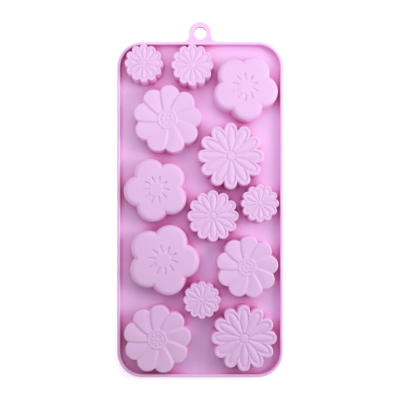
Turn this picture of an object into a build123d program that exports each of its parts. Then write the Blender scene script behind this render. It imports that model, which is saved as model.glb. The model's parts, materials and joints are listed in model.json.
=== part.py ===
from build123d import *
from dataclasses import dataclass
from math import acos, atan2, cos, degrees, hypot, radians, sin
import os

# Silicone soap mould with thirteen flower cups, lying on its mouth side. Millimetres.
# Z is 0 on the mouth side, where soap is poured in, and rises to the outside of the cups.
# +Y points to the hanging tab. The origin is the middle of the whole footprint, tab included.
#
# The real mould is one moulding. It is divided here where the rubber flexes in use:
# the tab bends at its root, and each cup's face is pushed in to release the soap.

# Sheet, rim and overall height
BODY_WIDTH = 105.0
BODY_LENGTH = 212.4
CORNER_RADIUS = 16.0
SHEET_THICKNESS = 2.0
MOULD_HEIGHT = 15.0
RIM_HEIGHT = 7.0
RIM_THICKNESS = 1.9
EDGE_ROUND = 0.5

# Hanging tab, level with the top of the rim
TAB_THICKNESS = 2.5
TAB_HEAD_RADIUS = 7.2
TAB_REACH = 12.6  # from the rim's outside to the tip of the tab
TAB_FLARE = 3.9  # hollow radius where the head widens into the root
HOLE_RADIUS = 3.9
BEND_GAP = 0.05  # between the rim and the tab's round root

# Cups
CUP_WALL = 1.5
CUP_DRAFT = 3.0  # degrees that each wall leans in on its way up
SHOULDER_ROUND = 0.6
FACE_THICKNESS = 2.0
SLIP = 0.08  # gap round each face, so that it slides in its wall

# Relief on the cup faces
PETAL_RELIEF = 0.6
BORDER_GAP = 0.4  # between a daisy's petals and the edge of its face
PETAL_START = 0.2  # this and the next eight are shares of the flower's radius
PETAL_ROUND = 0.12
BUTTON = 0.14
DISC = 0.29
GROOVE_START = 0.27
GROOVE_MIDDLE = 0.6
RAY_START = 0.22
RAY_END = 0.41
GROOVE_LEAN = 6.0  # degrees that a groove bows to one side of its notch
GROOVE_WIDTH = 0.6
GROOVE_DEPTH = 0.5
DISC_RELIEF = 0.3
SEED_RADIUS = 0.75
SEED_COUNT = 8
SEED_RING = 0.56  # as a share of the disc's radius
RAY_COUNT = 10
RAY_TURN = -5.3  # degrees from a petal's middle to its ray
RAY_START_WIDTH = 1.5
RAY_END_WIDTH = 0.7

# The footprint's middle is halfway along the body and the tab together
BODY_Y = -TAB_REACH / 2
RIM_END_Y = BODY_Y + BODY_LENGTH / 2
CUP_HEIGHT = MOULD_HEIGHT - SHEET_THICKNESS


@dataclass
class Pattern:
    """A flower's outline. The notch and the lobe's rounding are shares of its radius."""

    lobes: int
    notch: float
    lobe_round: float


SMALL_DAISY = Pattern(lobes=12, notch=0.87, lobe_round=0.25)
MEDIUM_DAISY = Pattern(lobes=12, notch=0.85, lobe_round=0.23)
LARGE_DAISY = Pattern(lobes=12, notch=0.78, lobe_round=0.19)
NINE_PETAL = Pattern(lobes=9, notch=0.85, lobe_round=0.34)
FIVE_PETAL = Pattern(lobes=5, notch=0.78, lobe_round=0.48)


@dataclass
class Flower:
    """One cup: its place from the middle of the body, its radius at the face, and its turn."""

    name: str
    pattern: Pattern
    x: float
    y: float
    radius: float
    turn: float = 90.0

    def plane(self, height):
        """A level plane over the middle of the flower, with X along one lobe."""
        lobe = (cos(radians(self.turn)), sin(radians(self.turn)), 0)
        return Plane(origin=(self.x, BODY_Y + self.y, height), x_dir=lobe, z_dir=(0, 0, 1))


FLOWERS = [
    Flower("small_daisy_1", SMALL_DAISY, -35.1, 90.9, 11.9),
    Flower("small_daisy_2", SMALL_DAISY, -4.9, 89.8, 13.0),
    Flower("small_daisy_3", SMALL_DAISY, 37.3, 3.6, 11.8),
    Flower("small_daisy_4", SMALL_DAISY, 1.1, -56.7, 11.6),
    Flower("medium_daisy", MEDIUM_DAISY, 8.0, -4.2, 16.0),
    Flower("large_daisy_1", LARGE_DAISY, 19.1, 33.2, 20.6),
    Flower("large_daisy_2", LARGE_DAISY, 27.3, -80.4, 20.4),
    Flower("nine_petal_1", NINE_PETAL, -20.4, 56.0, 21.3, turn=85.5),
    Flower("nine_petal_2", NINE_PETAL, 29.3, -36.2, 19.4, turn=86.0),
    Flower("nine_petal_3", NINE_PETAL, -26.8, -81.1, 21.1, turn=85.5),
    Flower("five_petal_1", FIVE_PETAL, 28.1, 76.0, 20.7, turn=-84.0),
    Flower("five_petal_2", FIVE_PETAL, -27.5, 12.2, 20.3, turn=184.5),
    Flower("five_petal_3", FIVE_PETAL, -23.1, -31.7, 22.6, turn=-3.0),
]


def polar(distance, angle):
    """The point at a distance from a flower's middle, in a direction in degrees."""
    return (distance * cos(radians(angle)), distance * sin(radians(angle)))


def turned(point, angle):
    """A point turned round a flower's middle."""
    return polar(hypot(*point), degrees(atan2(point[1], point[0])) + angle)


def outline(flower):
    """A cup's outline at its face: round lobes, with straight flanks where they are deep."""
    pattern = flower.pattern
    pitch = 360 / pattern.lobes
    lobe_radius = pattern.lobe_round * flower.radius
    lobe_middle = flower.radius - lobe_radius
    notch = polar(pattern.notch * flower.radius, pitch / 2)
    reach = hypot(notch[0] - lobe_middle, notch[1])
    has_flank = reach > lobe_radius
    shoulder = notch
    if has_flank:
        # The flank from the notch meets the lobe's arc without a corner
        towards_notch = degrees(atan2(notch[1], notch[0] - lobe_middle))
        touch = polar(lobe_radius, towards_notch - degrees(acos(lobe_radius / reach)))
        shoulder = (lobe_middle + touch[0], touch[1])
    with BuildSketch() as profile:
        with BuildLine():
            for lobe in range(pattern.lobes):
                angle = lobe * pitch
                start = turned((shoulder[0], -shoulder[1]), angle)
                end = turned(shoulder, angle)
                ThreePointArc(start, polar(flower.radius, angle), end)
                if has_flank:
                    Line(turned((notch[0], -notch[1]), angle), start)
                    Line(end, turned(notch, angle))
        make_face()
    return profile.sketch


def daisy_petals(flower):
    """A drop shape in each lobe of a daisy, pointing at the round button in the middle."""
    point = PETAL_START * flower.radius
    tip_radius = PETAL_ROUND * flower.radius
    tip = flower.radius - CUP_WALL - SLIP - BORDER_GAP
    tip_middle = tip - tip_radius
    # The drop's straight sides meet its round tip without a corner
    touch = polar(tip_radius, 180 - degrees(acos(tip_radius / (tip_middle - point))))
    left = (tip_middle + touch[0], touch[1])
    right = (left[0], -left[1])
    with BuildSketch() as petal:
        with BuildLine():
            Line((point, 0), right)
            ThreePointArc(right, (tip, 0), left)
            Line(left, (point, 0))
        make_face()
    with BuildSketch() as petals:
        with PolarLocations(0, flower.pattern.lobes):
            add(petal.sketch)
        Circle(BUTTON * flower.radius)
    return petals.sketch


def petal_grooves(flower):
    """The curved lines between a nine-petal flower's petals, from its disc to its notches."""
    half_pitch = 180 / flower.pattern.lobes
    with BuildLine() as curve:
        ThreePointArc(
            polar(GROOVE_START * flower.radius, half_pitch + GROOVE_LEAN),
            polar(GROOVE_MIDDLE * flower.radius, half_pitch + GROOVE_LEAN),
            polar(flower.pattern.notch * flower.radius - CUP_WALL, half_pitch),
        )
    with BuildSketch() as grooves:
        with PolarLocations(0, flower.pattern.lobes):
            SlotArc(curve.edge(), GROOVE_WIDTH)
    return grooves.sketch


def star_rays(flower):
    """The rays round a five-petal flower's middle, each narrowing outwards."""
    near = RAY_START * flower.radius
    far = RAY_END * flower.radius
    near_side = RAY_START_WIDTH / 2
    far_side = RAY_END_WIDTH / 2
    with BuildSketch() as ray:
        with BuildLine():
            Polyline((near, -near_side), (far, -far_side), (far, far_side), (near, near_side), close=True)
        make_face()
    with BuildSketch() as rays:
        with PolarLocations(0, RAY_COUNT, start_angle=RAY_TURN):
            add(ray.sketch)
    return rays.sketch


def make_sheet():
    """The flat sheet that joins the cups, open through to each cup."""
    with BuildPart() as sheet:
        with BuildSketch(Plane.XY):
            with Locations((0, BODY_Y)):
                RectangleRounded(BODY_WIDTH, BODY_LENGTH, CORNER_RADIUS)
        extrude(amount=SHEET_THICKNESS)
        for flower in FLOWERS:
            profile = outline(flower)
            with BuildSketch(flower.plane(MOULD_HEIGHT)):
                add(profile)
                offset(amount=-CUP_WALL)
            extrude(amount=-MOULD_HEIGHT, taper=-CUP_DRAFT, mode=Mode.SUBTRACT)
    return sheet.part


def make_rim():
    """The low wall round the edge of the sheet, with a rounded top."""
    with BuildPart() as rim:
        with BuildSketch(Plane.XY.offset(SHEET_THICKNESS)):
            with Locations((0, BODY_Y)):
                RectangleRounded(BODY_WIDTH, BODY_LENGTH, CORNER_RADIUS)
            offset(amount=-RIM_THICKNESS, mode=Mode.SUBTRACT)
        extrude(amount=RIM_HEIGHT - SHEET_THICKNESS)
        fillet(rim.edges().group_by(Axis.Z)[-1], EDGE_ROUND)
    return rim.part


def make_tab():
    """The hanging tab: a round head with a hole, widening to a round root that can bend."""
    root_y = RIM_END_Y + BEND_GAP + TAB_THICKNESS / 2
    tip_y = RIM_END_Y + TAB_REACH
    head_y = tip_y - TAB_HEAD_RADIUS
    root_side = TAB_HEAD_RADIUS + TAB_FLARE
    flare_y = root_y + TAB_FLARE
    hollow = TAB_FLARE * (1 - cos(radians(45)))
    right_flare = (TAB_HEAD_RADIUS + hollow, root_y + hollow)
    left_flare = (-right_flare[0], right_flare[1])
    with BuildPart() as tab:
        with BuildSketch(Plane.XY.offset(RIM_HEIGHT)):
            with BuildLine():
                Line((-root_side, root_y), (root_side, root_y))
                ThreePointArc((root_side, root_y), right_flare, (TAB_HEAD_RADIUS, flare_y))
                Line((TAB_HEAD_RADIUS, flare_y), (TAB_HEAD_RADIUS, head_y))
                ThreePointArc((TAB_HEAD_RADIUS, head_y), (0, tip_y), (-TAB_HEAD_RADIUS, head_y))
                Line((-TAB_HEAD_RADIUS, head_y), (-TAB_HEAD_RADIUS, flare_y))
                ThreePointArc((-TAB_HEAD_RADIUS, flare_y), left_flare, (-root_side, root_y))
            make_face()
        extrude(amount=-TAB_THICKNESS)
        with BuildSketch(Plane.YZ):
            with Locations((root_y, RIM_HEIGHT - TAB_THICKNESS / 2)):
                Circle(TAB_THICKNESS / 2)
        extrude(amount=root_side, both=True)
        # The hole comes last, because its near edge reaches the root's rounding
        with BuildSketch(Plane.XY.offset(RIM_HEIGHT)):
            with Locations((0, head_y)):
                Circle(HOLE_RADIUS)
        extrude(amount=-TAB_THICKNESS, mode=Mode.SUBTRACT)
    return tab.part


def make_cup_wall(flower):
    """The upright flower-shaped wall between the sheet and the cup's face."""
    profile = outline(flower)
    with BuildPart() as wall:
        with BuildSketch(flower.plane(MOULD_HEIGHT)):
            add(profile)
        extrude(amount=-CUP_HEIGHT, taper=-CUP_DRAFT)
        fillet(wall.edges().group_by(Axis.Z)[-1], SHOULDER_ROUND)
        with BuildSketch(flower.plane(MOULD_HEIGHT)):
            add(profile)
            offset(amount=-CUP_WALL)
        extrude(amount=-CUP_HEIGHT, taper=-CUP_DRAFT, mode=Mode.SUBTRACT)
    return wall.part


def face_blank(flower, top):
    """A cup's plain face, as thick as the others, with its outer side at a height."""
    profile = outline(flower)
    with BuildPart() as blank:
        with BuildSketch(flower.plane(top)):
            add(profile)
            offset(amount=-CUP_WALL - SLIP)
        extrude(amount=-FACE_THICKNESS, taper=-CUP_DRAFT)
    return blank.part


def make_daisy_face(flower):
    """A face with raised petals and button, and the same shapes sunk in its cavity side."""
    face_top = MOULD_HEIGHT - PETAL_RELIEF
    petals = daisy_petals(flower)
    with BuildPart() as face:
        add(face_blank(flower, face_top))
        with BuildSketch(flower.plane(face_top)):
            add(petals)
        extrude(amount=PETAL_RELIEF)
        with BuildSketch(flower.plane(face_top - FACE_THICKNESS)):
            add(petals)
        extrude(amount=PETAL_RELIEF, mode=Mode.SUBTRACT)
    return face.part


def make_nine_petal_face(flower):
    """A face with grooves between its petals, and a raised disc with a ring of seeds."""
    face_top = MOULD_HEIGHT - PETAL_RELIEF
    disc_radius = DISC * flower.radius
    grooves = petal_grooves(flower)
    with BuildPart() as face:
        add(face_blank(flower, face_top))
        with BuildSketch(flower.plane(face_top)):
            add(grooves)
        extrude(amount=-GROOVE_DEPTH, mode=Mode.SUBTRACT)
        with BuildSketch(flower.plane(face_top)):
            Circle(disc_radius)
        extrude(amount=DISC_RELIEF)
        with BuildSketch(flower.plane(face_top)):
            Circle(SEED_RADIUS)
            with PolarLocations(SEED_RING * disc_radius, SEED_COUNT):
                Circle(SEED_RADIUS)
        extrude(amount=PETAL_RELIEF)
    return face.part


def make_five_petal_face(flower):
    """A smooth face level with the top of its wall, with a star of engraved rays."""
    rays = star_rays(flower)
    with BuildPart() as face:
        add(face_blank(flower, MOULD_HEIGHT))
        with BuildSketch(flower.plane(MOULD_HEIGHT)):
            add(rays)
        extrude(amount=-GROOVE_DEPTH, mode=Mode.SUBTRACT)
    return face.part


def make_cup_face(flower):
    """The face that closes a cup, made the way its pattern needs."""
    if flower.pattern is NINE_PETAL:
        return make_nine_petal_face(flower)
    if flower.pattern is FIVE_PETAL:
        return make_five_petal_face(flower)
    return make_daisy_face(flower)


parts = {"sheet": make_sheet(), "rim": make_rim(), "hanging_tab": make_tab()}
for flower in FLOWERS:
    parts[f"cup_wall_{flower.name}"] = make_cup_wall(flower)
    parts[f"cup_face_{flower.name}"] = make_cup_face(flower)

os.makedirs("parts", exist_ok=True)
for name, part in parts.items():
    part.label = name
    export_step(part, f"parts/{name}.step")
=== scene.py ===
import json
import math

import bpy
import numpy as np
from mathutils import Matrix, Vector
from mathutils.geometry import delaunay_2d_cdt


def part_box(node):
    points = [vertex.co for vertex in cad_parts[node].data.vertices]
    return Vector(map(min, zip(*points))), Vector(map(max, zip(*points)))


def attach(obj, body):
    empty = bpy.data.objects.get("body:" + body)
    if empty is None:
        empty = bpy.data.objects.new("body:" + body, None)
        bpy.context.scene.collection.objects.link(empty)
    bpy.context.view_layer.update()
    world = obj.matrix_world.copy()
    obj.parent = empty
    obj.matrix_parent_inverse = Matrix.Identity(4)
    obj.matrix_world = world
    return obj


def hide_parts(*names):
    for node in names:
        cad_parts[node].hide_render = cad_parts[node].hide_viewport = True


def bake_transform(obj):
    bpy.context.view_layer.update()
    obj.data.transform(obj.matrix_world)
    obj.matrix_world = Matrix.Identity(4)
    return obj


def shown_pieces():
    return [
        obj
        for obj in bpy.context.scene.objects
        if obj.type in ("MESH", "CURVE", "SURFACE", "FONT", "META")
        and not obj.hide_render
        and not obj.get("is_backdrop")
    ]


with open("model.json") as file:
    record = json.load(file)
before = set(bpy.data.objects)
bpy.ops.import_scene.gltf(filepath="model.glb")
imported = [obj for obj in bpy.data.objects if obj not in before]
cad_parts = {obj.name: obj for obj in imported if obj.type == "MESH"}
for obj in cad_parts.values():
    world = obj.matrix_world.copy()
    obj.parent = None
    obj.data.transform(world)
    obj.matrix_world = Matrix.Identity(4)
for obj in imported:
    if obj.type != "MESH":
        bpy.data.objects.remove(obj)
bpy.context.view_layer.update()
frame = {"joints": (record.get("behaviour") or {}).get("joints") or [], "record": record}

# The visual model of a silicone flower mould, lying mouth down, as one pink skin in fifteen
# pieces: the tray is the sheet and its rim, each cup is one flower, and the tab is its own.
# Geometry is worked out in millimetres on the frame's axes, and becomes metres in make_mesh.
MM = 0.001


def box_mm(node):
    """The CAD node's lowest and highest corners in millimetres."""
    low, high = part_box(node)
    return np.array(low) / MM, np.array(high) / MM


# ---------------------------------------------------------------- places taken from the frame
sheet_low, sheet_high = box_mm("sheet")
rim_high = box_mm("rim")[1]
tab_low, tab_high = box_mm("hanging_tab")
BODY_Y = (sheet_low[1] + sheet_high[1]) / 2
HALF_WIDTH = sheet_high[0]
HALF_LENGTH = (sheet_high[1] - sheet_low[1]) / 2
SHEET_TOP = sheet_high[2]
RIM_TOP = rim_high[2]
RIM_END_Y = rim_high[1]
FACE_TOP = box_mm("cup_wall_large_daisy_1")[1][2]
CAVITIES = {o["name"]: np.array(o["box_m"]) / MM for o in frame["record"]["physics"]["openings"]}
TAB_JOINT = next(j for j in frame["joints"] if j["name"] == "tab_bend")
TAB_JOINT_Y = TAB_JOINT["pos_m"][1] / MM
HOLE_MOUNT = next(m for m in frame["record"]["mounts"] if m["name"] == "hanging_hole")
TAB_HOLE = np.array(HOLE_MOUNT["pos_m"]) / MM
TAB_HOLE_RADIUS = HOLE_MOUNT["dims"]["r_mm"]

# ---------------------------------------------------------------- sizes of the skin, mm
CORNER_RADIUS = 16.0
RIM_THICKNESS = 1.9
RIM_FOOT_ROUND = 0.4
EDGE_ROUND = 0.75
FLAT_STEP = 0.08  # the flat's first row of points lies this far in from a rounding
UNDERSIDE_INSET = 1.2  # where the rim's skin meets the flat underside
CORNER_POINTS = 25
END_STEPS = 12  # along each straight end, and below along each side
SIDE_STEPS = 30
CUP_WALL = 1.5
FACE_SKIN = 2.0
WALL_LEAN = math.tan(math.radians(2.0))
CAD_DRAFT = math.tan(math.radians(3.0))
FOOT_ROUND = 0.5
FOOT_GAP = 0.03  # from the end of a cup's foot rounding to the edge of its hole in the sheet
LAP = 0.3  # how far each cup's foot laps over the edge of that hole
PROUD = 0.01  # laps stand this much proud, so that no two faces lie in one plane
PROUD_STEP = 0.2  # each cup's lap is prouder than the last by this share
MOUTH_ROUND = 0.5
LEAST_INNER_ROUND = 0.4
FACE_ROW_STEP = 0.42  # about the space between rows of points on a large face
LEAST_FACE_ROWS = 24
CAVITY_ROW_STEP = 0.9
LEAST_CAVITY_ROWS = 12
CAVITY_RELIEF_START = 0.15  # share of the cavity's radius over which its relief grows
SETTLE_REACH = 2.5  # how far down a cup's wall the relief along its top edge fades out
BEND_GRID_IN_RIM = 0.6  # the extra points across the tab's faces near its root start this far into the rim
BEND_GRID_BEYOND_JOINT = 2.0
BEND_GRID_STEP = 0.35
BEND_GRID_COUNT = 19
BEND_GRID_ROOT_HALF_WIDTH = 10.2  # inside the rim
BEND_GRID_HALF_WIDTH = 10.4  # where the tab leaves the rim
BEND_GRID_MARGIN = 0.5
HOLE_MARGIN = 0.7
TAB_FLARE = 3.9
TAB_EDGE_ROUND = 0.4
FLARE_POINTS = 15
HEAD_POINTS = 61
HOLE_STEP = 6  # degrees between the hole's points
TAB_FLAT_STEP = 0.05
TAB_ROOT_DEPTH = 0.9  # how far the tab's root runs into the rim
HOLE_EDGE_SHARE = 0.5  # the hole's edges are rounded by this share of the tab's
HOLE_EDGE_ROWS = 3  # rows at each end of the hole's wall that aren't in its painted shade
SHARP_ANGLE = math.radians(62)  # edges sharper than this aren't shaded smooth

TINY = 1e-9
HALVINGS = 32

# ---------------------------------------------------------------- looks of the skin
# The paler edges are a painted highlight, from 0 to 1 at each point, and lit is 0 to 1 for painted
# light on walls that light passes through
PAINTED_HIGHLIGHT_DEPTH = 1.0  # depth of the painted highlight band at the top of the rim and the tab, mm
HIGHLIGHT_SHOULDER_LIMIT = 0.6  # shoulders rounder than this get less painted highlight, mm
WALL_TOP_GLOW = 0.5  # painted highlight at the top of a cup's wall, as a share of its shoulder's
# painted highlight round each cup's mouth
MOUTH_GLOW = 0.2
FOOT_LIGHT = 0.3  # painted light at the foot of a cup's wall, from 1 at its top
# painted light inside the cavity, and on the rim's walls
INNER_LIGHT = 0.5
RIM_LIGHT = 0.4
RIM_LIGHT_REACH = 1.5  # height over which the rim's painted light grows, mm
# painted shade on the wall of the tab's hole
HOLE_SHADE = 0.8


class Pattern:
    """A flower pattern: its outline as shares of the radius, its shoulder and its relief."""

    def __init__(self, lobes, notch, lobe_round, shoulder, samples, relief, petal=None):
        self.lobes = lobes
        self.notch = notch
        self.lobe_round = lobe_round
        self.shoulder = shoulder  # rounding of the face's outer edge, mm
        self.samples = samples  # outline points in half a lobe
        self.relief = relief  # function of the flower and a point's radius and angle
        self.petal = petal  # a daisy petal's widest place, tip length and half width


class Flower:
    """One cup: a pattern with a place, a radius and a turn."""

    def __init__(self, name, pattern, turn):
        self.name = name
        self.pattern = pattern
        self.turn = math.radians(turn)
        self.pitch = 2 * math.pi / pattern.lobes
        self.centre = CAVITIES["cavity_" + name].mean(axis=0)[:2]
        self.set_radius(1.0)
        all_round = np.radians(np.arange(0, 360, 0.25))
        unit_width = np.ptp(self.edge(all_round, self.turn)[0])
        low, high = box_mm("cup_wall_" + name)
        foot_growth = CAD_DRAFT * (high[2] - SHEET_TOP)
        self.set_radius((high[0] - low[0] - 2 * foot_growth) / unit_width)

    def set_radius(self, radius):
        """Work out the outline's arcs and flanks for a radius to the lobe tips."""
        half = self.pitch / 2
        self.radius = radius
        self.lobe_radius = self.pattern.lobe_round * radius
        self.lobe_middle = radius - self.lobe_radius
        notch = self.pattern.notch * radius
        self.notch = np.array([notch * math.cos(half), notch * math.sin(half)])
        to_notch = self.notch - [self.lobe_middle, 0]
        reach = np.hypot(*to_notch)
        swing = math.atan2(to_notch[1], to_notch[0])
        self.flank_start = self.notch
        if reach > self.lobe_radius:
            swing -= math.acos(self.lobe_radius / reach)
            touch = self.lobe_radius * np.array([math.cos(swing), math.sin(swing)])
            self.flank_start = touch + [self.lobe_middle, 0]
        self.swing = swing

    def fold(self, angles):
        """Angles brought into the half lobe from its tip, at 0, to its notch."""
        half = self.pitch / 2
        return np.abs((angles + half) % self.pitch - half)

    def distance(self, radii, angles):
        """Distance from the outline, above 0 outside it."""
        folded = self.fold(angles)
        x, y = radii * np.cos(folded), radii * np.sin(folded)
        from_middle = np.arctan2(y, x - self.lobe_middle)
        arc = np.hypot(x - self.lobe_middle, y) - self.lobe_radius
        flank = self.notch - self.flank_start
        length = max(float(np.hypot(*flank)), TINY)
        from_start_x, from_start_y = x - self.flank_start[0], y - self.flank_start[1]
        along = (from_start_x * flank[0] + from_start_y * flank[1]) / length
        along = np.clip(along, 0, length)
        nearest_x = self.flank_start[0] + flank[0] * along / length
        nearest_y = self.flank_start[1] + flank[1] * along / length
        side = np.where(radii > self.edge_radius(folded), 1.0, -1.0)
        straight = side * np.hypot(x - nearest_x, y - nearest_y)
        return np.where(from_middle <= self.swing, arc, straight)

    def edge_radius(self, folded):
        """Radius of the outline at a folded angle."""
        offset = self.lobe_middle * np.sin(folded)
        arc = self.lobe_middle * np.cos(folded)
        arc = arc + np.sqrt(np.maximum(self.lobe_radius**2 - offset**2, 0))
        flank = self.notch - self.flank_start
        if np.hypot(*flank) < TINY:
            return arc
        across = np.cos(folded) * flank[1] - np.sin(folded) * flank[0]
        line = (self.flank_start[0] * flank[1] - self.flank_start[1] * flank[0]) / across
        return np.where(folded <= math.atan2(self.flank_start[1], self.flank_start[0]), arc, line)

    def edge(self, angles, turn=0.0):
        """Points of the outline at angles from the first lobe's tip, with the flower turned."""
        radii = self.edge_radius(self.fold(angles))
        return np.array([radii * np.cos(angles + turn), radii * np.sin(angles + turn)])

    def angles(self):
        """Angles of evenly spaced outline points, with every tip and notch among them."""
        fine = np.linspace(0, self.pitch / 2, 400)
        steps = np.hypot(*np.diff(self.edge(fine), axis=1))
        lengths = np.concatenate([[0], np.cumsum(steps)])
        even = np.linspace(0, lengths[-1], self.pattern.samples + 1)
        half = np.interp(even, lengths, fine)
        lobe = np.concatenate([half, self.pitch - half[-2:0:-1]])
        return np.concatenate([lobe + self.pitch * i for i in range(self.pattern.lobes)])

    def contour(self, offset, angles):
        """Radii of the line at an offset from the outline, outside it when above 0, by halving."""
        # The line is always somewhere between these two radii
        low = np.full_like(angles, 0.2 * self.radius)
        high = np.full_like(angles, self.radius + max(offset, 0) + 0.1)
        for _ in range(HALVINGS):
            middle = (low + high) / 2
            outside = self.distance(middle, angles) > offset
            high = np.where(outside, middle, high)
            low = np.where(outside, low, middle)
        return (low + high) / 2


# ---------------------------------------------------------------- relief on the faces
def ease(value):
    """0 to 1 with no corner at either end."""
    value = np.clip(value, 0, 1)
    return value * value * (3 - 2 * value)


def falloff(distance, width, power=2):
    """1 at no distance, and close to 0 at twice the width."""
    return np.exp(-((distance / width) ** power))


# The reliefs give heights in mm, 0 at the top of the face. Shares are of the flower's radius.
DAISY_DEPTH = 0.25
DAISY_DEPTH_GROWTH = 0.021  # for each mm of radius
DAISY_GROOVE = 0.18  # width over which the groove rises to the border, mm
DAISY_GROOVE_GROWTH = 0.013  # for each mm of radius
LEAST_Y = 0.001  # mm, so that no slope is 0 on a petal's middle line
LEAST_ROOM = 0.05  # mm, half a petal's width at the flower's centre
PETAL_CROWN = 2.3  # power of a petal's dome
TIP_FADE = 0.15  # share of the depth lost round a petal's tip
CENTRE_DEPTH = 0.55  # share of the depth left at the flower's centre
CENTRE_START = 0.15
CENTRE_LENGTH = 0.3
BUTTON = 0.145
BUTTON_RING_DEPTH = 0.75  # this and the next are shares of the depth or the groove
BUTTON_RING_GROOVE = 0.8
BUTTON_DOME = 0.45


def daisy_relief(flower, radii, angles):
    """Leaf-shaped domed petals round a button, each one outlined by a groove in a flat border."""
    size = flower.radius
    widest, tip, half_width = (share * size for share in flower.pattern.petal)
    depth = DAISY_DEPTH + DAISY_DEPTH_GROWTH * size
    groove = DAISY_GROOVE + DAISY_GROOVE_GROWTH * size
    folded = flower.fold(angles)
    x = radii * np.cos(folded)
    y = np.maximum(radii * np.sin(folded), LEAST_Y)
    half = flower.pitch / 2
    past_widest = np.maximum(x - widest, 0)
    share = np.hypot(past_widest / tip, y / half_width)
    slope = np.hypot(past_widest / tip**2, y / half_width**2)
    to_side = (share - 1) * share / slope
    to_neighbour = y * math.cos(half) - x * math.sin(half)
    outside = np.maximum(to_neighbour, to_side)
    room = np.minimum(half_width, x * math.sin(half) + LEAST_ROOM)
    crown = -depth * (1 - np.clip(-outside / room, 0, 1)) ** PETAL_CROWN
    border = -depth * falloff(np.maximum(outside, 0), groove)
    height = np.where(outside < 0, crown, border) * (1 - TIP_FADE * ease(past_widest / tip))
    from_centre = ease((radii / size - CENTRE_START) / CENTRE_LENGTH)
    height = height * (CENTRE_DEPTH + (1 - CENTRE_DEPTH) * from_centre)
    button = BUTTON * size
    ring = -BUTTON_RING_DEPTH * depth * falloff(radii - button, BUTTON_RING_GROOVE * groove)
    dome = -BUTTON_DOME * depth * (radii / button) ** 3
    return np.minimum(np.where(radii < button, dome, height), ring)


FAN_STEP = 0.66  # depth of the step where one petal overlaps the next
FAN_LEAN = math.radians(22.5)  # how fast the steps bow to one side, inwards from the notches
TUCKED_WIDTH = 0.145
TUCKED_POWER = 1.4
UPPER_EDGE_WIDTH = 1.0  # mm
DISC = 0.305
DISC_RING_DEPTH = 0.36
DISC_RING_WIDTH = 0.6  # mm
DISC_EDGE_DEPTH = 0.1
DISC_FLOOR_DROP = 0.18  # from the disc's edge to the floor round its seeds
DISC_FLOOR_START = 0.26
DISC_FLOOR_SLOPE = 0.04  # share of the radius over which the floor drops
SEED_COUNT = 8
SEED_RING = 0.15
SEED_HEIGHT = 0.2
SEED_DROP = 0.5  # from a seed's top to its edge
SEED_RADIUS = 0.7  # mm


def seed_relief(flower, radii, angles):
    """Seeds on the disc: one in its middle, and a ring of them."""
    x, y = radii * np.cos(angles), radii * np.sin(angles)
    ring = SEED_RING * flower.radius
    turns = [seed * 2 * math.pi / SEED_COUNT for seed in range(SEED_COUNT)]
    spots = [(ring * math.cos(turn), ring * math.sin(turn)) for turn in turns] + [(0.0, 0.0)]
    aways = [np.hypot(x - spot_x, y - spot_y) for spot_x, spot_y in spots]
    nearest = np.minimum.reduce(aways)
    return SEED_HEIGHT - SEED_DROP * (nearest / SEED_RADIUS) ** 2


def nine_petal_relief(flower, radii, angles):
    """Petals that overlap like a fan, each one's edge over its neighbour, round a seeded disc."""
    size = flower.radius
    share = radii / size
    lean = FAN_LEAN * np.clip(flower.pattern.notch - share, 0, None)
    turn = (angles + flower.pitch / 2 - lean) % flower.pitch
    tucked = -FAN_STEP * falloff(turn * radii, TUCKED_WIDTH * size, TUCKED_POWER)
    upper_edge = -FAN_STEP * falloff((flower.pitch - turn) * radii, UPPER_EDGE_WIDTH)
    disc = DISC * size
    ring = -DISC_RING_DEPTH * falloff(radii - disc, DISC_RING_WIDTH)
    sunk = ease((DISC_FLOOR_START - share) / DISC_FLOOR_SLOPE)
    disc_floor = -DISC_EDGE_DEPTH - DISC_FLOOR_DROP * sunk
    middle = np.maximum(seed_relief(flower, radii, angles), disc_floor)
    petals = np.minimum(tucked, upper_edge)
    return np.minimum(np.where(radii < disc, middle, petals), ring)


RAY_PITCH = math.radians(36.0)
RAY_TURN = math.radians(-5.3)
RAY_START = 0.175
RAY_LENGTH = 0.235
RAY_MODEL_RADIUS = 20.4  # radius of the flower whose ray widths are given, mm
RAY_START_HALF_WIDTH = 1.1  # mm
RAY_TAPER = 0.88  # mm lost from the half width along a ray
RAY_SIDE = 0.4  # width of a ray's sloping sides, mm
RAY_START_SLOPE = 0.3  # this and the next two are shares of a ray's length
RAY_END = 1.06
RAY_END_SLOPE = 0.12
RAY_START_DEPTH = 0.2
RAY_DEPTH_GROWTH = 0.6
FACE_CROWN = 0.4  # drop from the face's middle to its outline


def five_petal_relief(flower, radii, angles):
    """A nearly flat face with a star of engraved rays, deepest at their outer ends."""
    scale = flower.radius / RAY_MODEL_RADIUS
    folded = np.abs((angles - RAY_TURN + RAY_PITCH / 2) % RAY_PITCH - RAY_PITCH / 2)
    x, y = radii * np.cos(folded), radii * np.sin(folded)
    along = (x / flower.radius - RAY_START) / RAY_LENGTH
    within = np.clip(along, 0, 1)
    half_width = (RAY_START_HALF_WIDTH - RAY_TAPER * within) * scale
    across = ease((half_width - y) / RAY_SIDE + 0.5)
    ends = ease(along / RAY_START_SLOPE) * ease((RAY_END - along) / RAY_END_SLOPE)
    rays = -(RAY_START_DEPTH + RAY_DEPTH_GROWTH * within) * across * ends
    crown = -FACE_CROWN * (radii / flower.radius) ** 3
    return rays + crown


# Lobes, notch, lobe round, shoulder, samples, relief, and a daisy's petal
SMALL_DAISY = Pattern(12, 0.835, 0.215, 0.45, 10, daisy_relief, (0.64, 0.21, 0.147))
MEDIUM_DAISY = Pattern(12, 0.82, 0.21, 0.55, 13, daisy_relief, (0.62, 0.26, 0.132))
LARGE_DAISY = Pattern(12, 0.78, 0.19, 0.6, 18, daisy_relief, (0.59, 0.29, 0.124))
NINE_PETAL = Pattern(9, 0.85, 0.31, 0.8, 22, nine_petal_relief)
FIVE_PETAL = Pattern(5, 0.78, 0.48, 3.0, 36, five_petal_relief)

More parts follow.
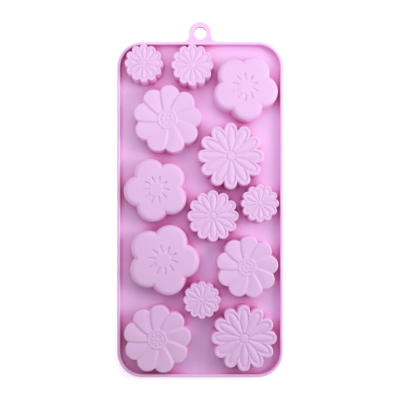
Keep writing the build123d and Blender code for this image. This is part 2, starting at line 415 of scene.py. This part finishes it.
# Each flower's turn is in degrees, from +X to the tip of its first lobe
FLOWERS = [
    Flower("small_daisy_1", SMALL_DAISY, 90),
    Flower("small_daisy_2", SMALL_DAISY, 90),
    Flower("small_daisy_3", SMALL_DAISY, 90),
    Flower("small_daisy_4", SMALL_DAISY, 90),
    Flower("medium_daisy", MEDIUM_DAISY, 90),
    Flower("large_daisy_1", LARGE_DAISY, 90),
    Flower("large_daisy_2", LARGE_DAISY, 90),
    Flower("nine_petal_1", NINE_PETAL, 85.5),
    Flower("nine_petal_2", NINE_PETAL, 86),
    Flower("nine_petal_3", NINE_PETAL, 85.5),
    Flower("five_petal_1", FIVE_PETAL, -84),
    Flower("five_petal_2", FIVE_PETAL, 184.5),
    Flower("five_petal_3", FIVE_PETAL, -3),
]


# ---------------------------------------------------------------- mesh helpers
def make_mesh(name, points, faces, **looks):
    """A smooth silicone mesh from millimetre points. Each look is a named value for each point."""
    mesh = bpy.data.meshes.new(name)
    mesh.from_pydata((np.asarray(points) * MM).tolist(), [], faces)
    mesh.polygons.foreach_set("use_smooth", [True] * len(mesh.polygons))
    for look, values in looks.items():
        layer = mesh.attributes.new(look, "FLOAT", "POINT")
        layer.data.foreach_set("value", np.asarray(values, np.float32))
    mesh.materials.append(SILICONE)
    mesh.set_sharp_from_angle(angle=SHARP_ANGLE)
    mesh.update()
    made = bpy.data.objects.new(name, mesh)
    bpy.context.scene.collection.objects.link(made)
    return made


def join_rows(first, second, count):
    """Quads between two closed rows of points, given the index of each row's first point."""
    return [
        (first + i, second + i, second + (i + 1) % count, first + (i + 1) % count)
        for i in range(count)
    ]


def painted_highlight_band(height, top):
    """The painted highlight: 1 at the top of an edge, and 0 a band's depth below it."""
    return ease((height - top + PAINTED_HIGHLIGHT_DEPTH) / PAINTED_HIGHLIGHT_DEPTH)


def round_corner(start, end, centre_offset, centre_height, radius, steps):
    """Offsets and heights along an arc, from just after its start angle to its end angle."""
    turns = np.radians(np.linspace(start, end, steps + 1)[1:])
    return [
        (centre_offset + radius * math.cos(t), centre_height + radius * math.sin(t)) for t in turns
    ]


def inside(points, loop):
    """Which points lie inside a closed loop."""
    found = np.zeros(len(points), bool)
    corners = np.array(loop)
    for (ax, ay), (bx, by) in zip(corners, np.roll(corners, -1, axis=0)):
        if ay == by:
            continue
        spans = (points[:, 1] < ay) != (points[:, 1] < by)
        crossing = ax + (points[:, 1] - ay) / (by - ay) * (bx - ax)
        found ^= spans & (points[:, 0] < crossing)
    return found


def fill_flat(outer, holes, extra=()):
    """Triangles, counter-clockwise, that fill between an outer loop and its holes."""
    points, edges = [], []
    for loop in [outer, *holes]:
        start = len(points)
        count = len(loop)
        points += [Vector(p) for p in loop]
        edges += [(start + i, start + (i + 1) % count) for i in range(count)]
    points += [Vector(p) for p in extra]
    inside_only, snap_distance = 1, 1e-5
    made = delaunay_2d_cdt(points, edges, [], inside_only, snap_distance)
    made_triangles, first_points = made[2], [owners[0] for owners in made[3]]
    triangles = np.array(first_points)[np.array(made_triangles)]
    places = np.array(points)
    middles = places[triangles].mean(axis=1)
    keep = inside(middles, outer)
    for hole in holes:
        keep &= ~inside(middles, hole)
    triangles = triangles[keep]
    a, b, c = (places[triangles[:, i]] for i in range(3))
    area = (b - a)[:, 0] * (c - a)[:, 1] - (b - a)[:, 1] * (c - a)[:, 0]
    triangles[area < 0] = triangles[area < 0][:, ::-1]
    return [tuple(int(i) for i in triangle) for triangle in triangles]


# ---------------------------------------------------------------- the cups
def cup_lean(height):
    """How far the wall stands out from the face's outline at a height."""
    return WALL_LEAN * (FACE_TOP - height)


HOLE_OFFSET = cup_lean(SHEET_TOP) + FOOT_ROUND + FOOT_GAP  # of the sheet's hole round a cup
LAP_OFFSET = HOLE_OFFSET + LAP  # of the edge of a cup's foot, which laps over the sheet


def cup_section(flower, proud):
    """Offset, height, painted highlight and painted light of each row down the outside, under the
    foot and up the inside.
    """
    shoulder = flower.pattern.shoulder
    lean = cup_lean(SHEET_TOP + FOOT_ROUND)
    edge_glow = min(1.0, HIGHLIGHT_SHOULDER_LIMIT / shoulder) ** 2
    wall_top = FACE_TOP - shoulder
    wall_foot = SHEET_TOP + FOOT_ROUND
    rows = []
    for offset, height in round_corner(90, 2, -shoulder, wall_top, shoulder, steps=7):
        rows.append((offset, height, edge_glow, ease((FACE_TOP - height) / shoulder)))
    for share in np.linspace(0, 1, 9)[1:]:
        height = wall_top + (wall_foot - wall_top) * share
        glow = WALL_TOP_GLOW * edge_glow * (1 - share) ** 2
        rows.append((cup_lean(height), height, glow, 1 - (1 - FOOT_LIGHT) * share))
    for offset, height in round_corner(180, 270, lean + FOOT_ROUND, wall_foot, FOOT_ROUND, steps=4):
        foot_light = FOOT_LIGHT * (height - SHEET_TOP) / FOOT_ROUND
        rows.append((offset, height + proud, 0.0, foot_light))
    rows.append((LAP_OFFSET, SHEET_TOP + proud, 0.0, 0.0))
    rows.append((LAP_OFFSET, -proud, 0.0, 0.0))

    mouth = cup_lean(0) - CUP_WALL + MOUTH_ROUND
    rows.append((mouth, -proud, MOUTH_GLOW, 0.0))
    for offset, height in round_corner(-90, -180, mouth, MOUTH_ROUND, MOUTH_ROUND, steps=4):
        rows.append((offset, height, MOUTH_GLOW, 0.0))
    inner_round = max(LEAST_INNER_ROUND, shoulder - CUP_WALL)
    inner_top = FACE_TOP - FACE_SKIN
    for share in np.linspace(0, 1, 6)[1:]:
        height = MOUTH_ROUND + (inner_top - inner_round - MOUTH_ROUND) * share
        rows.append((cup_lean(height) - CUP_WALL, height, 0.0, INNER_LIGHT))
    middle = cup_lean(inner_top) - CUP_WALL - inner_round
    for offset, height in round_corner(0, 90, middle, inner_top - inner_round, inner_round, steps=4):
        rows.append((offset, height, 0.0, INNER_LIGHT))
    return rows


def cup_rows(flower, number):
    """Radii, heights, painted highlight and painted light of each row, from the face's middle round
    to the cavity's.
    """
    relief = flower.pattern.relief
    angles = flower.angles()
    outer_count = max(LEAST_FACE_ROWS, int(flower.radius / FACE_ROW_STEP))
    inner_count = max(LEAST_CAVITY_ROWS, int(flower.radius / CAVITY_ROW_STEP))
    rows = []
    face_edge = flower.contour(-flower.pattern.shoulder, angles)
    for share in np.linspace(0, 1, outer_count + 1)[1:]:
        radii = face_edge * share
        rows.append((radii, FACE_TOP + relief(flower, radii, angles), 0.0, 0.0))
    settle = relief(flower, face_edge, angles)
    proud = PROUD * (1 + PROUD_STEP * number)
    for offset, height, glow, wall_light in cup_section(flower, proud):
        near_top = ease((height - FACE_TOP + SETTLE_REACH) / SETTLE_REACH)
        above_cavity = height > FACE_TOP - FACE_SKIN + PROUD
        follow = settle * near_top if above_cavity else 0.0
        rows.append((flower.contour(offset, angles), height + follow, glow, wall_light))
    inner_edge = rows[-1][0]
    for share in np.linspace(1, 0, inner_count + 1)[1:-1]:
        radii = inner_edge * share
        sunk = relief(flower, radii, angles) * ease((1 - share) / CAVITY_RELIEF_START)
        rows.append((radii, FACE_TOP - FACE_SKIN + sunk, 0.0, INNER_LIGHT))
    return rows


def make_cup(flower, number):
    """One cup as a closed skin: face, wall, foot, and the cavity that shapes the soap."""
    shown = flower.angles() + flower.turn
    count = len(shown)
    rows = cup_rows(flower, number)
    points, thin, lit = [], [], []
    for radii, heights, glow, wall_light in rows:
        x = flower.centre[0] + radii * np.cos(shown)
        y = flower.centre[1] + radii * np.sin(shown)
        z = np.broadcast_to(heights, x.shape)
        points.append(np.stack([x, y, z], axis=1))
        thin.append(np.full(count, glow))
        lit.append(np.full(count, wall_light))
    faces = []
    for row in range(len(rows) - 1):
        faces += join_rows(row * count, (row + 1) * count, count)

    top = len(rows) * count
    bottom = top + 1
    last = top - count
    middle_height = FACE_TOP + flower.pattern.relief(flower, np.zeros(1), np.zeros(1))[0]
    middles = [[*flower.centre, middle_height], [*flower.centre, middle_height - FACE_SKIN]]
    faces += [(top, i, (i + 1) % count) for i in range(count)]
    faces += [(bottom, last + (i + 1) % count, last + i) for i in range(count)]
    points = np.concatenate([*points, middles])
    thin = np.concatenate([*thin, [0.0, 0.0]])
    lit = np.concatenate([*lit, [0.0, INNER_LIGHT]])
    cup = make_mesh("cup_" + flower.name, points, faces, thin=thin, lit=lit)

    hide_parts("cup_wall_" + flower.name, "cup_face_" + flower.name)
    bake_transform(cup)


# ---------------------------------------------------------------- the sheet and its rim
def outline_loop(offset):
    """A loop round the mould at an offset from its outline, counter-clockwise."""
    radius = CORNER_RADIUS + offset
    corners = []
    for corner, (side_x, side_y) in enumerate([(1, 1), (-1, 1), (-1, -1), (1, -1)]):
        middle_x = side_x * (HALF_WIDTH - CORNER_RADIUS)
        middle_y = BODY_Y + side_y * (HALF_LENGTH - CORNER_RADIUS)
        turns = np.radians(np.linspace(0, 90, CORNER_POINTS) + 90 * corner)
        arc = [middle_x + radius * np.cos(turns), middle_y + radius * np.sin(turns)]
        corners.append(np.stack(arc, axis=1))
    loop = []
    for corner, steps in enumerate([END_STEPS, SIDE_STEPS, END_STEPS, SIDE_STEPS]):
        start, end = corners[corner][-1], corners[(corner + 1) % 4][0]
        between = start + (end - start) * np.linspace(0, 1, steps + 1)[1:-1, None]
        loop += [corners[corner], between]
    return np.concatenate(loop)


def tray_section():
    """Offsets and heights from the sheet's top, over the rim and round to the underside."""
    inner = -RIM_THICKNESS
    foot = inner - RIM_FOOT_ROUND
    lip = RIM_TOP - EDGE_ROUND
    rows = [(foot - FLAT_STEP, SHEET_TOP), (foot, SHEET_TOP)]
    rows += round_corner(-90, 0, foot, SHEET_TOP + RIM_FOOT_ROUND, RIM_FOOT_ROUND, steps=4)
    rows += [(inner, height) for height in np.linspace(SHEET_TOP + RIM_FOOT_ROUND, lip, 5)[1:]]
    rows += round_corner(180, 90, inner + EDGE_ROUND, lip, EDGE_ROUND, steps=5)
    rows.append((-EDGE_ROUND, RIM_TOP))
    rows += round_corner(90, 0, -EDGE_ROUND, lip, EDGE_ROUND, steps=5)
    rows += [(0.0, height) for height in np.linspace(lip, EDGE_ROUND, 5)[1:]]
    rows += round_corner(0, -90, -EDGE_ROUND, EDGE_ROUND, EDGE_ROUND, steps=5)
    rows.append((-UNDERSIDE_INSET, 0.0))
    return rows


def make_tray():
    """The sheet, with a hole where each cup stands, and the rim round it, as one skin."""
    section = tray_section()
    points, thin, lit, faces = [], [], [], []
    for offset, height in section:
        loop = outline_loop(offset)
        points += [(x, y, height) for x, y in loop]
        # painted highlight at the rim's top, and painted light growing up its walls
        thin += [painted_highlight_band(height, RIM_TOP)] * len(loop)
        lit += [RIM_LIGHT * ease((height - SHEET_TOP) / RIM_LIGHT_REACH)] * len(loop)
    ring = len(loop)
    last = (len(section) - 1) * ring
    for row in range(len(section) - 1):
        faces += join_rows(row * ring, (row + 1) * ring, ring)

    top_index = list(range(ring))
    bottom_index = list(range(last, last + ring))
    holes = []
    for flower in FLOWERS:
        angles = flower.angles()
        radii = flower.contour(HOLE_OFFSET, angles)
        x = flower.centre[0] + radii * np.cos(angles + flower.turn)
        y = flower.centre[1] + radii * np.sin(angles + flower.turn)
        hole = list(zip(x, y))
        count = len(hole)
        top = len(points)
        points += [(a, b, SHEET_TOP) for a, b in hole] + [(a, b, 0.0) for a, b in hole]
        thin += [0.0] * (2 * count)
        lit += [0.0] * (2 * count)
        faces += [face[::-1] for face in join_rows(top, top + count, count)]
        top_index += range(top, top + count)
        bottom_index += range(top + count, top + 2 * count)
        holes.append(hole)
    top_loop = [tuple(p) for p in outline_loop(section[0][0])]
    bottom_loop = [tuple(p) for p in outline_loop(section[-1][0])]
    faces += [tuple(top_index[i] for i in face) for face in fill_flat(top_loop, holes)]
    faces += [tuple(bottom_index[i] for i in face[::-1]) for face in fill_flat(bottom_loop, holes)]
    tray = make_mesh("tray_skin", points, faces, thin=thin, lit=lit)
    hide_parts("sheet", "rim")
    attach(tray, "tray")


# ---------------------------------------------------------------- the hanging tab
def tab_outline(offset):
    """The tab's plan at an offset from its edge, counter-clockwise from its root on the right."""
    hole_y = TAB_HOLE[1]
    head = tab_high[1] - hole_y
    flare_y = RIM_END_Y + TAB_FLARE
    flare_x = math.sqrt((head + TAB_FLARE) ** 2 - (hole_y - flare_y) ** 2)
    meet = math.degrees(math.atan2(hole_y - flare_y, flare_x))
    flare_turns = np.radians(np.linspace(270, 180 - meet, FLARE_POINTS))
    head_turns = np.radians(np.linspace(-meet, 180 + meet, HEAD_POINTS)[1:-1])
    flare_radius = TAB_FLARE - offset
    head_radius = head + offset
    right_x = flare_x + flare_radius * np.cos(flare_turns)
    right_y = flare_y + flare_radius * np.sin(flare_turns)
    top_x = head_radius * np.cos(head_turns)
    top_y = hole_y + head_radius * np.sin(head_turns)
    right = np.stack([right_x, right_y], axis=1)
    top = np.stack([top_x, top_y], axis=1)
    left = right[::-1] * [-1, 1]
    root = np.array([[flare_x, RIM_END_Y - TAB_ROOT_DEPTH]])
    return np.concatenate([root, right, top, left, root * [-1, 1]])


def tab_section(low, high):
    """Offsets and heights from the tab's top face round its edge to its underside."""
    edge = TAB_EDGE_ROUND
    flat = -edge - TAB_FLAT_STEP
    rows = [(flat, high), (-edge, high)]
    rows += round_corner(90, 0, -edge, high - edge, edge, steps=4)
    rows.append((0.0, low + edge))
    rows += round_corner(0, -90, -edge, low + edge, edge, steps=4)
    rows.append((flat, low))
    return rows


def tab_grid():
    """Points across the tab's flat faces near its root, where the real tab bends."""
    start_y = RIM_END_Y - BEND_GRID_IN_RIM
    end_y = TAB_JOINT_Y + BEND_GRID_BEYOND_JOINT
    grid = []
    for y in np.arange(start_y, end_y, BEND_GRID_STEP):
        beyond = max(0.0, y - RIM_END_Y)
        flare = math.sqrt(TAB_FLARE**2 - (TAB_FLARE - beyond) ** 2)
        reach = BEND_GRID_HALF_WIDTH - flare if beyond else BEND_GRID_ROOT_HALF_WIDTH
        for x in np.linspace(-reach + BEND_GRID_MARGIN, reach - BEND_GRID_MARGIN, BEND_GRID_COUNT):
            if math.hypot(x - TAB_HOLE[0], y - TAB_HOLE[1]) > TAB_HOLE_RADIUS + HOLE_MARGIN:
                grid.append((x, y))
    return grid


def make_tab():
    """The tab as a closed skin, with extra points at its root, where the real tab bends as it leaves
    the rim.
    """
    low, high = tab_low[2], RIM_TOP + PROUD
    section = tab_section(low, high)
    rows = len(section)
    points, faces, thin = [], [], []
    for offset, height in section:
        loop = tab_outline(offset)
        points += [(x, y, height) for x, y in loop]
        thin += [painted_highlight_band(height, high)] * len(loop)
    ring = len(loop)
    for row in range(rows - 1):
        faces += join_rows(row * ring, (row + 1) * ring, ring)

    turns = np.radians(np.arange(0, 360, HOLE_STEP))
    count = len(turns)
    hole_start = len(points)
    for offset, height in section:
        radius = TAB_HOLE_RADIUS - HOLE_EDGE_SHARE * offset
        x = TAB_HOLE[0] + radius * np.cos(turns)
        y = TAB_HOLE[1] + radius * np.sin(turns)
        points += list(zip(x, y, [height] * count))
        thin += [painted_highlight_band(height, high)] * count
    for row in range(rows - 1):
        first = hole_start + row * count
        faces += [face[::-1] for face in join_rows(first, first + count, count)]

    inner = [tuple(p) for p in tab_outline(section[0][0])]
    hole = [p[:2] for p in points[hole_start : hole_start + count]]
    grid = tab_grid()
    # The tab's top and underside, whose faces turn the other way
    for height, outer_row, order in [(high, 0, 1), (low, rows - 1, -1)]:
        start = len(points)
        points += [(x, y, height) for x, y in grid]
        thin += [0.0] * len(grid)
        first = hole_start + outer_row * count
        index = [*range(outer_row * ring, (outer_row + 1) * ring)]
        index += [*range(first, first + count), *range(start, start + len(grid))]
        for face in fill_flat(inner, [hole], grid):
            faces.append(tuple(index[i] for i in face[::order]))

    # painted shade on the wall of the hole
    shade = np.zeros(len(points))
    wall_start = hole_start + HOLE_EDGE_ROWS * count
    wall_end = hole_start + (rows - HOLE_EDGE_ROWS) * count
    shade[wall_start:wall_end] = HOLE_SHADE
    unlit = np.zeros(len(points))
    tab = make_mesh("hanging_tab_skin", points, faces, thin=thin, lit=unlit, shade=shade)
    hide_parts("hanging_tab")
    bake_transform(tab)


# ---------------------------------------------------------------- silicone
def srgb(red, green, blue):
    """A linear colour from 0 to 255 display values."""
    return tuple((c / 255) ** 2.2 for c in (red, green, blue)) + (1.0,)


PINK = srgb(232, 190, 234)
# painted highlight: the paler pink on the edges
PAINTED_HIGHLIGHT_PINK = srgb(238, 198, 238)
# painted light on walls that light passes through
PAINTED_WALL_LIGHT_PINK = srgb(236, 177, 226)
# colour of the painted glow that the walls give off
PAINTED_GLOW_PINK = srgb(255, 172, 228)
PAINTED_SHADE_PINKS = [  # painted shade: openness of a place, from 0 in a closed corner, and its darker pink there
    (0.08, srgb(165, 44, 120)),
    (0.25, srgb(197, 86, 154)),
    (0.38, srgb(226, 138, 201)),
    (0.52, srgb(236, 177, 227)),
    (0.66, PINK),
]
PAINTED_SHADE_REACH = 10.0  # how near another surface must be for the painted shade to deepen the pink, mm
MOTTLE = (0.97, 1.03)
ROUGHNESS = (0.42, 0.56)
WALL_TINT = 0.9  # how much of the painted wall light pink a fully lit wall takes
WALL_EMISSION = 0.11  # painted glow, standing in for the light that comes through a thin wall
SILICONE_IOR = 1.41
BUMP_HEIGHT = 0.12  # mm
BUMP_STRENGTH = 0.12


def add_node(tree, kind, **values):
    """A shader node. Values set its sockets by name, or its properties."""
    node = tree.nodes.new(kind)
    for key, value in values.items():
        if key in node.inputs:
            node.inputs[key].default_value = value
        else:
            setattr(node, key, value)
    return node


def feed(tree, node, socket, value):
    """Set a node's input from another node's output, or from a plain value."""
    if isinstance(value, bpy.types.NodeSocket):
        tree.links.new(value, node.inputs[socket])
    else:
        node.inputs[socket].default_value = value


def mix_colour(tree, share, first, second):
    """The mix of two colours, each a socket or four numbers."""
    node = add_node(tree, "ShaderNodeMix", data_type="RGBA")
    # The mix node has sockets for several kinds of value, and these are the ones for colours
    for socket, value in [(0, share), (6, first), (7, second)]:
        feed(tree, node, socket, value)
    return node.outputs[2]


def calculate(tree, operation, first, second):
    """The result of a sum on two sockets or numbers, kept between 0 and 1."""
    node = add_node(tree, "ShaderNodeMath", operation=operation, use_clamp=True)
    feed(tree, node, 0, first)
    feed(tree, node, 1, second)
    return node.outputs["Value"]


def map_range(tree, value, low, high):
    """A value from 0 to 1 stretched to run from low to high."""
    node = add_node(tree, "ShaderNodeMapRange")
    feed(tree, node, "Value", value)
    node.inputs["To Min"].default_value = low
    node.inputs["To Max"].default_value = high
    return node.outputs["Result"]


def noise(tree, scale, detail):
    """Soft noise that is fixed to the object. Scale is in features for each metre."""
    place = add_node(tree, "ShaderNodeTexCoord").outputs["Object"]
    node = add_node(tree, "ShaderNodeTexNoise", Scale=scale, Detail=detail)
    feed(tree, node, "Vector", place)
    return node.outputs["Fac"]


def stored_look(tree, name):
    """The named look that make_mesh stored at each point."""
    return add_node(tree, "ShaderNodeAttribute", attribute_name=name).outputs["Fac"]


def painted_shade_colour(tree):
    """Painted shade: pink by how open a place is, deeper in tight corners and in the hole's shade."""
    near = add_node(tree, "ShaderNodeAmbientOcclusion", samples=16, Distance=PAINTED_SHADE_REACH * MM)
    openness = calculate(tree, "SUBTRACT", near.outputs["AO"], stored_look(tree, "shade"))
    ramp = add_node(tree, "ShaderNodeValToRGB")
    feed(tree, ramp, "Fac", openness)
    stops = ramp.color_ramp.elements
    stops[0].position, stops[0].color = PAINTED_SHADE_PINKS[0]
    stops[1].position, stops[1].color = PAINTED_SHADE_PINKS[-1]
    for position, colour in PAINTED_SHADE_PINKS[1:-1]:
        stops.new(position).color = colour
    return ramp.outputs["Color"]


def make_silicone():
    """Satin pink silicone, faintly uneven, with painted shade deepening the pink in tight corners, a
    painted highlight on the edges, and painted light and a painted glow on the walls.
    """
    material = bpy.data.materials.new("silicone")
    material.use_nodes = True
    material.diffuse_color = PINK
    tree = material.node_tree
    skin = tree.nodes["Principled BSDF"]
    skin.inputs["IOR"].default_value = SILICONE_IOR

    body = add_node(tree, "ShaderNodeVectorMath", operation="MULTIPLY")
    feed(tree, body, 0, painted_shade_colour(tree))
    feed(tree, body, 1, map_range(tree, noise(tree, scale=55.0, detail=3.0), *MOTTLE))
    # painted light on the walls
    wall_share = calculate(tree, "MULTIPLY", stored_look(tree, "lit"), WALL_TINT)
    walled = mix_colour(tree, wall_share, body.outputs["Vector"], PAINTED_WALL_LIGHT_PINK)
    # painted highlight on the edges
    edged = mix_colour(tree, stored_look(tree, "thin"), walled, PAINTED_HIGHLIGHT_PINK)
    feed(tree, skin, "Base Color", edged)
    # a painted glow from the walls, though they are no lamp
    passed = calculate(tree, "MULTIPLY", stored_look(tree, "lit"), WALL_EMISSION)
    feed(tree, skin, "Emission Strength", passed)
    feed(tree, skin, "Emission Color", PAINTED_GLOW_PINK)

    smears = noise(tree, scale=140.0, detail=4.0)
    feed(tree, skin, "Roughness", map_range(tree, smears, *ROUGHNESS))
    bump = add_node(tree, "ShaderNodeBump", Strength=BUMP_STRENGTH, Distance=BUMP_HEIGHT * MM)
    feed(tree, bump, "Height", noise(tree, scale=420.0, detail=3.0))
    feed(tree, skin, "Normal", bump.outputs["Normal"])
    return material


SILICONE = make_silicone()


# ---------------------------------------------------------------- build
for number, flower in enumerate(FLOWERS):
    make_cup(flower, number)
make_tray()
make_tab()


# ---------------------------------------------------------------- floor, light and camera
# Places and sizes here are in metres
FLOOR_REACH = 6.0
FLOOR_GAP = 0.0006  # below the mould's underside
FLOOR_GREY = 0.93
FLOOR_GLOW = 0.5
WORLD_LIGHT = 0.34
WORLD_SEEN = 0.9  # the world's brightness behind the floor, where the camera sees it
CAMERA_PLACE = (0.0025, -0.018, 0.470)
CAMERA_LENS = 65.9  # mm, as is the next
SENSOR_WIDTH = 36.0
CAMERA_SHIFT = (-0.0102, 0.0700)


def add_area(name, place, aim, size, power):
    """A square soft light at a place, turned to its aim."""
    light = bpy.data.lights.new(name, "AREA")
    light.shape = "SQUARE"
    light.size = size
    light.energy = power
    lamp = bpy.data.objects.new(name, light)
    bpy.context.scene.collection.objects.link(lamp)
    lamp.location = place
    lamp.rotation_euler = (Vector(aim) - Vector(place)).to_track_quat("-Z", "Y").to_euler()
    lamp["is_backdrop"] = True


def make_floor():
    """A wide pale floor just under the mould."""
    mesh = bpy.data.meshes.new("floor")
    sides = [(-1, -1), (1, -1), (1, 1), (-1, 1)]
    corners = [(FLOOR_REACH * x, FLOOR_REACH * y, 0) for x, y in sides]
    mesh.from_pydata(corners, [], [(0, 1, 2, 3)])
    material = bpy.data.materials.new("floor")
    material.use_nodes = True
    paint = material.node_tree.nodes["Principled BSDF"]
    paint.inputs["Base Color"].default_value = (FLOOR_GREY, FLOOR_GREY, FLOOR_GREY, 1)
    paint.inputs["Roughness"].default_value = 0.9
    paint.inputs["Emission Color"].default_value = (1, 1, 1, 1)
    paint.inputs["Emission Strength"].default_value = FLOOR_GLOW
    mesh.materials.append(material)
    floor = bpy.data.objects.new("floor", mesh)
    bpy.context.scene.collection.objects.link(floor)
    floor.location = (0, 0, -FLOOR_GAP)
    floor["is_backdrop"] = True


def make_world():
    """Even white light from all round, brighter where the camera sees it past the floor."""
    world = bpy.data.worlds.new("studio")
    bpy.context.scene.world = world
    world.use_nodes = True
    tree = world.node_tree
    sky = tree.nodes["Background"]
    sky.inputs["Color"].default_value = (1, 1, 1, 1)
    seen = add_node(tree, "ShaderNodeLightPath").outputs["Is Camera Ray"]
    feed(tree, sky, "Strength", map_range(tree, seen, WORLD_LIGHT, WORLD_SEEN))


def make_camera():
    """A camera that looks straight down, off centre, as in a picture cropped from a wider one."""
    optics = bpy.data.cameras.new("camera")
    optics.lens = CAMERA_LENS
    optics.sensor_width = SENSOR_WIDTH
    optics.clip_start = 0.01
    optics.shift_x, optics.shift_y = CAMERA_SHIFT
    camera = bpy.data.objects.new("camera", optics)
    camera.location = CAMERA_PLACE
    bpy.context.scene.collection.objects.link(camera)
    bpy.context.scene.camera = camera


make_floor()
add_area("key", place=(0.40, 0.03, 0.30), aim=(0.0, 0.03, 0.0), size=0.24, power=1.22)
add_area("softbox", place=(-0.03, 0.16, 0.27), aim=(-0.03, 0.13, 0.0), size=0.32, power=0.51)
make_world()
make_camera()
bpy.context.scene.view_settings.view_transform = "Standard"

# ---------------------------------------------------------------- lowest and highest points of the shown pieces
lows, highs = [], []
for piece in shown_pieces():
    flat = np.zeros(len(piece.data.vertices) * 3)
    piece.data.vertices.foreach_get("co", flat)
    lows.append(flat.reshape(-1, 3).min(axis=0))
    highs.append(flat.reshape(-1, 3).max(axis=0))
